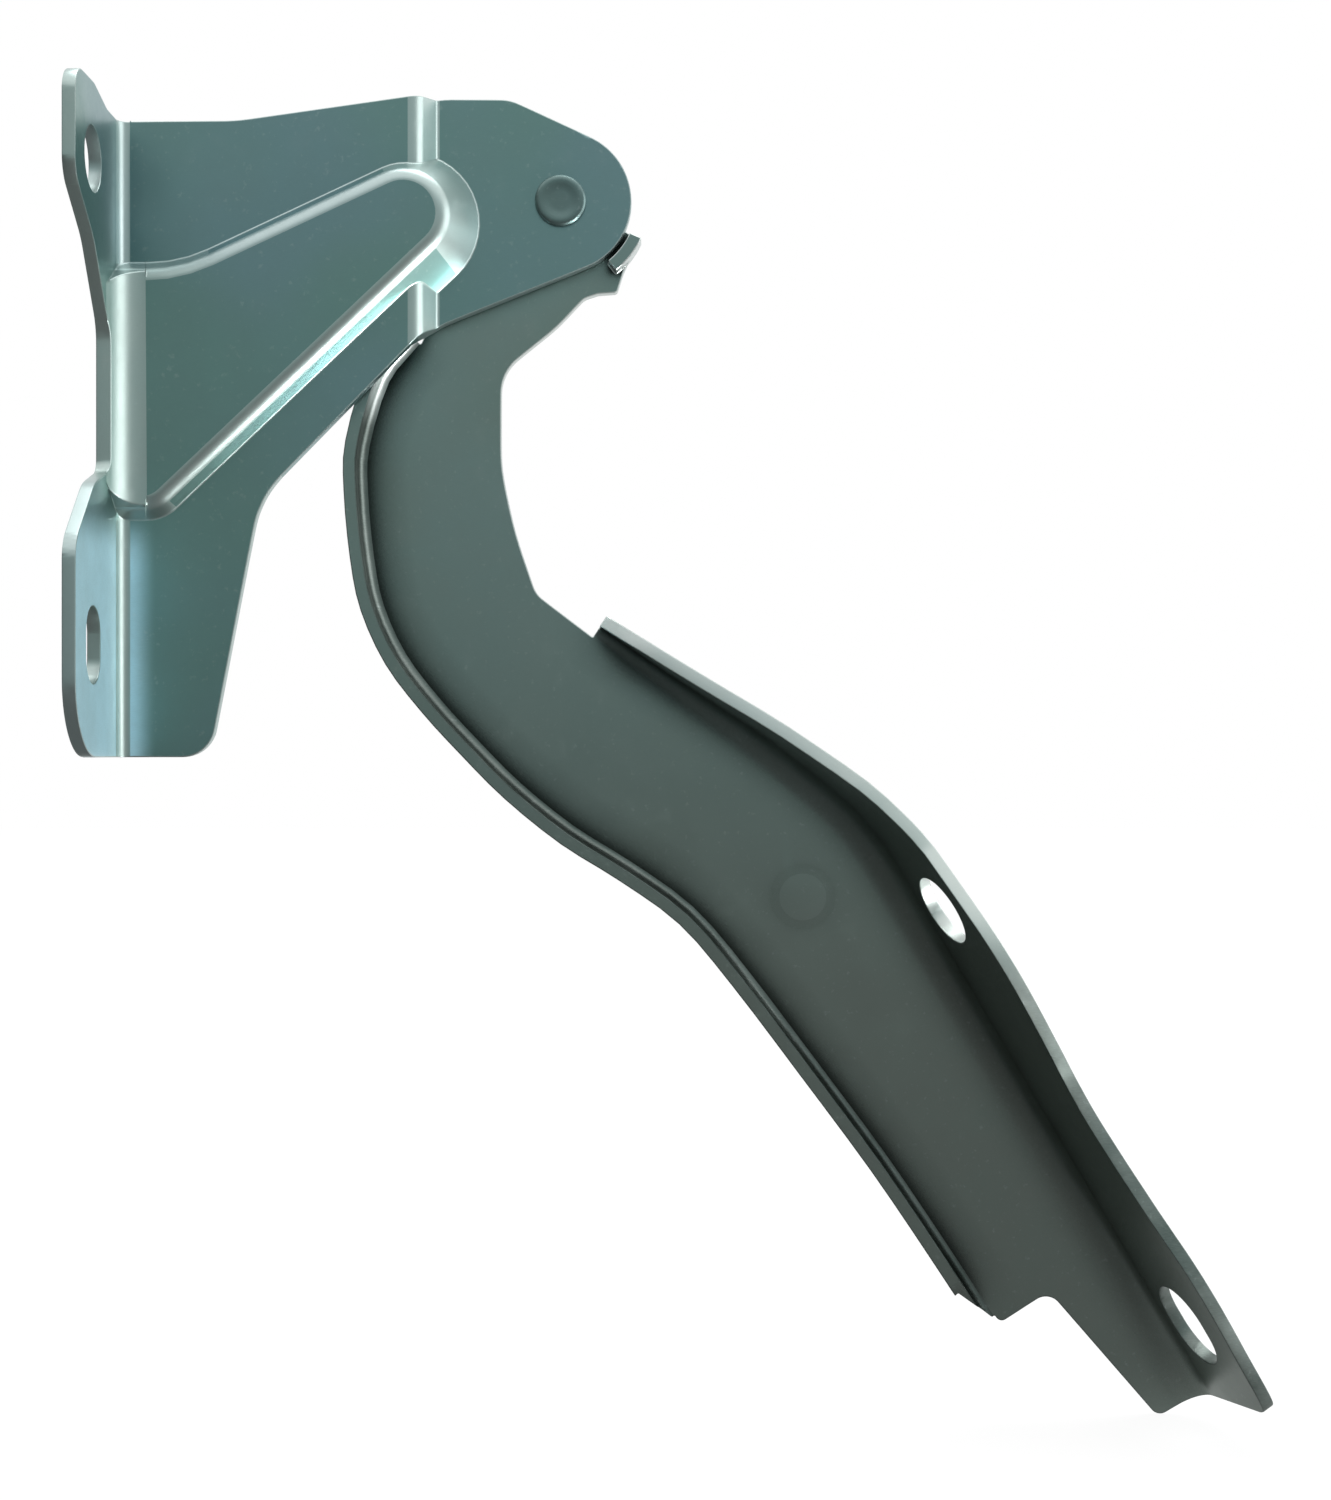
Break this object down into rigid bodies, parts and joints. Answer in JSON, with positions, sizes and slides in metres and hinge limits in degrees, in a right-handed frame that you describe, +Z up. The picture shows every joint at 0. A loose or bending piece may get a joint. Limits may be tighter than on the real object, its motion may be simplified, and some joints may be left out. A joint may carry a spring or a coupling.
{
  "type": "hood hinge",
  "caption": "Hood hinge: a pressed body bracket with a two-pad flange, and a curved hood arm that turns on a shouldered rivet.",
  "frame": {"origin": "centre of the upper body hole, on the bracket's mounting face", "axes": "+Z up, +X from the body mounting face towards the pivot, -Y towards the open side of the pressings"},
  "size_m": [0.2019, 0.0429, 0.2358],
  "materials": {
    "bracket_steel": "zinc plated, satin",
    "arm_steel": "zinc plated, satin",
    "rivet_steel": "zinc plated, satin",
    "bush_bronze": "sintered, dull",
    "washer_steel": "zinc plated, satin"
  },
  "bodies": {
    "bracket": {"body_bracket": "bracket_steel", "pivot_rivet": "rivet_steel", "back_washer": "washer_steel"},
    "arm": {"hood_arm": "arm_steel", "pivot_bush": "bush_bronze"}
  },
  "joints": [
    {"name": "hood_pivot", "type": "hinge", "parent": "bracket", "child": "arm", "pos_m": [0.08, 0.0253, -0.0016], "axis": [0, -1, 0], "range_deg": [-30.6, 30]}
  ]
}
